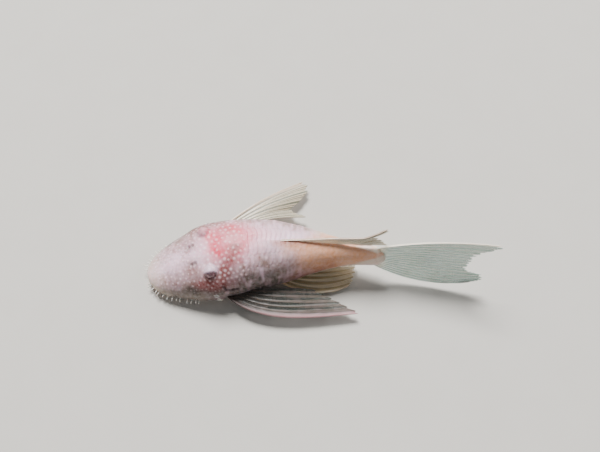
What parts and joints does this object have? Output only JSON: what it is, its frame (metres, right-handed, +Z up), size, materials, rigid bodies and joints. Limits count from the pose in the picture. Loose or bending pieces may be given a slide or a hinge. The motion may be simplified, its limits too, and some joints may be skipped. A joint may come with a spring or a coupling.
{
  "type": "bristlenose pleco",
  "caption": "Life-size still model of a pale long-finned bristlenose pleco at rest on its belly, head turned a little to its left and one pectoral fin spread.",
  "frame": {"origin": "on the floor, under the spine, at the middle of the flat belly", "axes": "+Z up, -X towards the snout, -Y towards the fish's left side"},
  "size_m": [0.142, 0.0646, 0.0251],
  "materials": {
    "skin": "smooth, moist, pale pink",
    "lips": "soft, matt",
    "eye": "wet gloss",
    "fin": "thin, see-through skin between pale rays"
  },
  "bodies": {
    "root": {"head": "skin", "trunk": "skin", "tail": "skin", "mouth_disc": "lips", "eye_left": "eye", "eye_right": "eye", "dorsal_fin": "fin", "adipose_fin": "fin", "anal_fin": "fin", "caudal_fin": "fin", "pectoral_fin_left": "fin", "pectoral_fin_right": "fin", "pelvic_fin_left": "fin", "pelvic_fin_right": "fin"}
  },
  "joints": []
}
